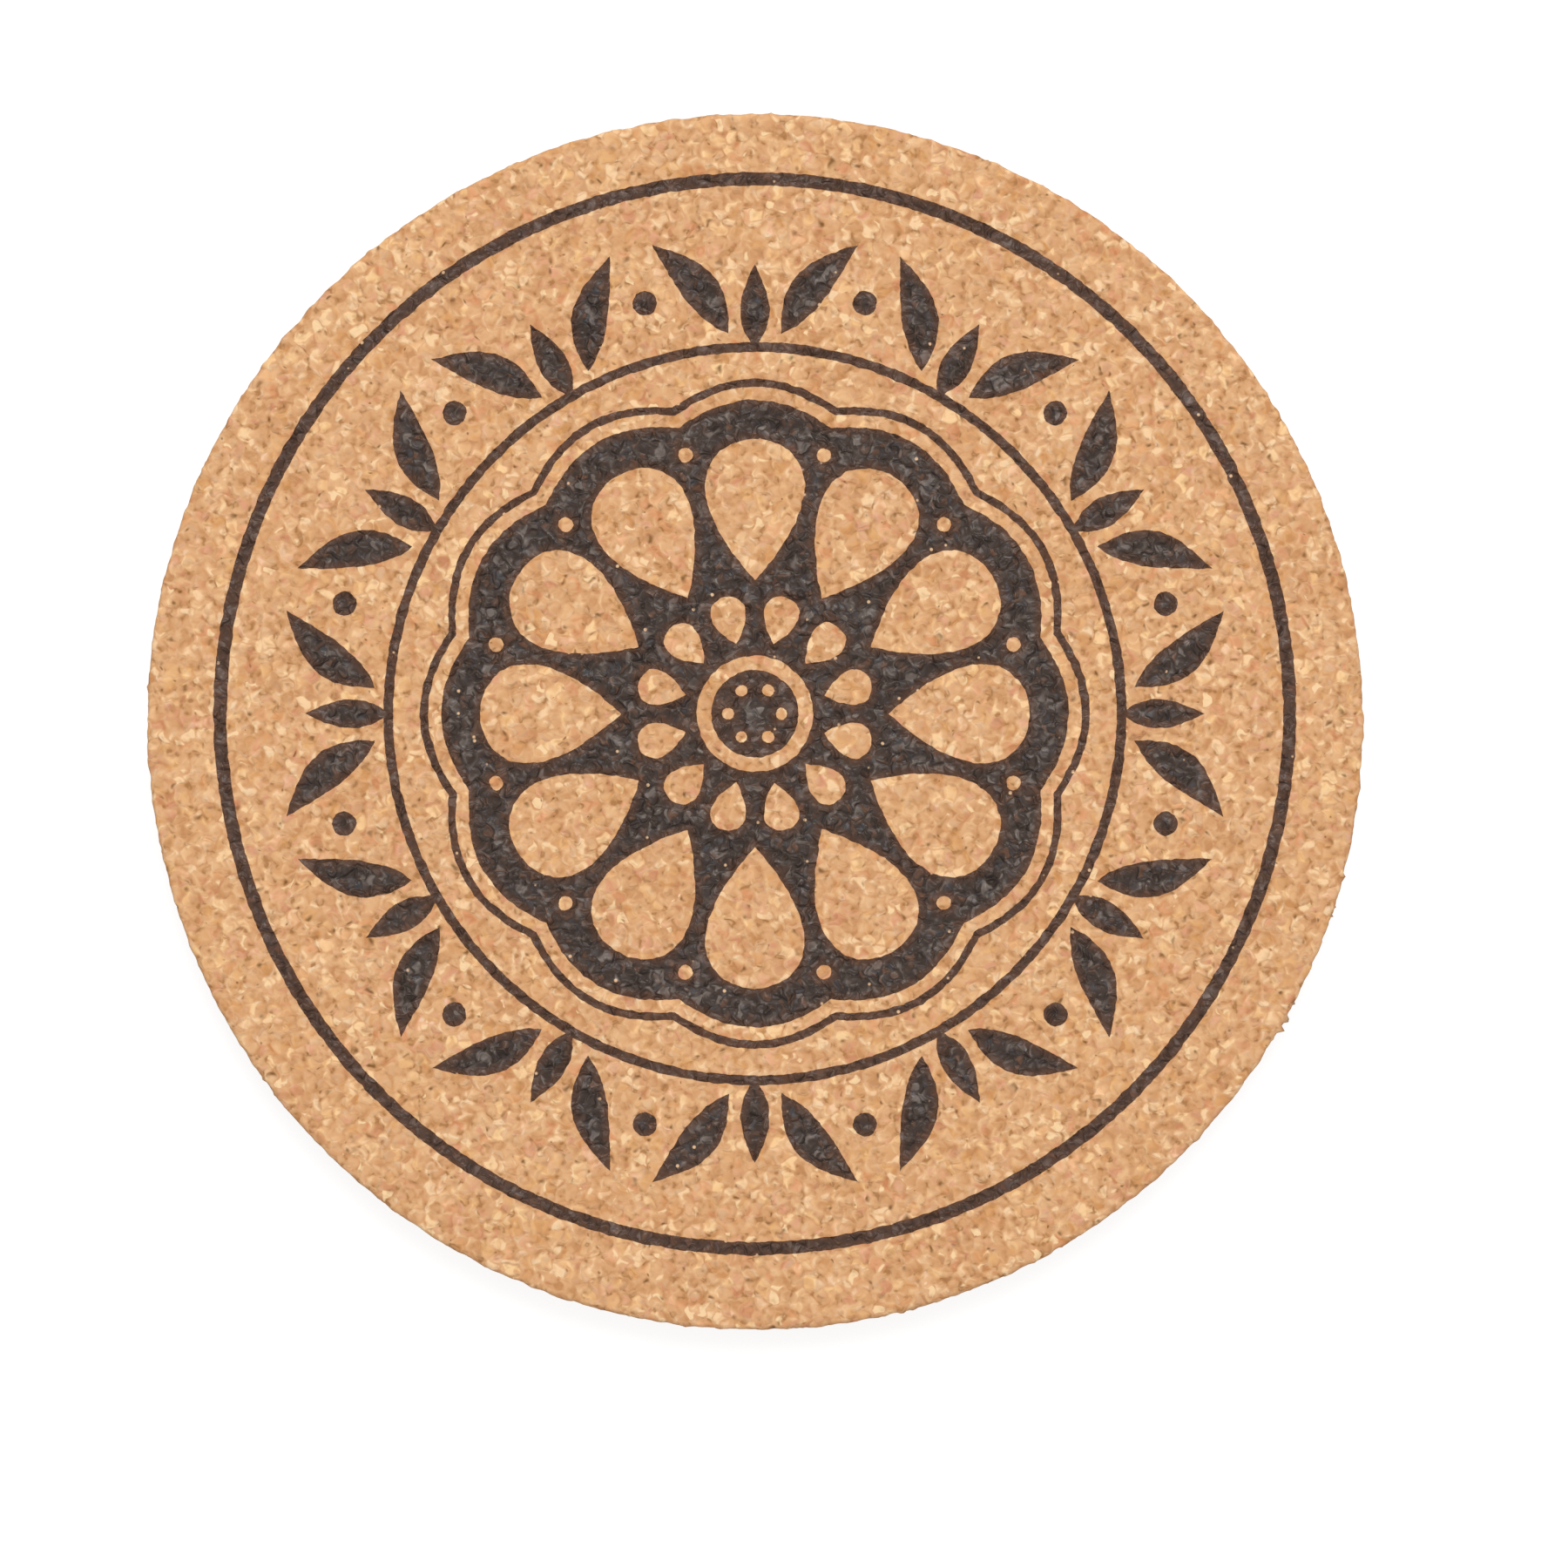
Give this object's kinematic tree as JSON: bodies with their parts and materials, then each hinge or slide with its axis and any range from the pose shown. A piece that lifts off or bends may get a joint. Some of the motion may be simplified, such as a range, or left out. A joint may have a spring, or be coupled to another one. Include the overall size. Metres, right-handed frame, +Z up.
{
  "type": "cork coaster",
  "caption": "Round cork drink coaster with a plain printed border ring, a printed leaf wreath and a flower medallion.",
  "frame": {"origin": "centre of the underside, in the plane of the table", "axes": "+Z up out of the printed face, +Y towards the top of the picture, +X to its right"},
  "size_m": [0.1, 0.1, 0.0041],
  "materials": {
    "cork": "bare pressed cork granules, matt and slightly open",
    "ink": "dark brown-black printed ink film, matt, following the granules"
  },
  "bodies": {
    "root": {"cork_disc": "cork", "print_border_ring": "ink", "print_stem_ring": "ink", "print_leaf_left_01": "ink", "print_leaf_right_01": "ink", "print_berry_01": "ink", "print_leaf_left_02": "ink", "print_leaf_right_02": "ink", "print_berry_02": "ink", "print_leaf_left_03": "ink", "print_leaf_right_03": "ink", "print_berry_03": "ink", "print_leaf_left_04": "ink", "print_leaf_right_04": "ink", "print_berry_04": "ink", "print_leaf_left_05": "ink", "print_leaf_right_05": "ink", "print_berry_05": "ink", "print_leaf_left_06": "ink", "print_leaf_right_06": "ink", "print_berry_06": "ink", "print_leaf_left_07": "ink", "print_leaf_right_07": "ink", "print_berry_07": "ink", "print_leaf_left_08": "ink", "print_leaf_right_08": "ink", "print_berry_08": "ink", "print_leaf_left_09": "ink", "print_leaf_right_09": "ink", "print_berry_09": "ink", "print_leaf_left_10": "ink", "print_leaf_right_10": "ink", "print_berry_10": "ink", "print_leaf_left_11": "ink", "print_leaf_right_11": "ink", "print_berry_11": "ink", "print_leaf_left_12": "ink", "print_leaf_right_12": "ink", "print_berry_12": "ink", "print_scallop_line": "ink", "print_medallion": "ink", "print_flower_heart": "ink"}
  },
  "joints": []
}
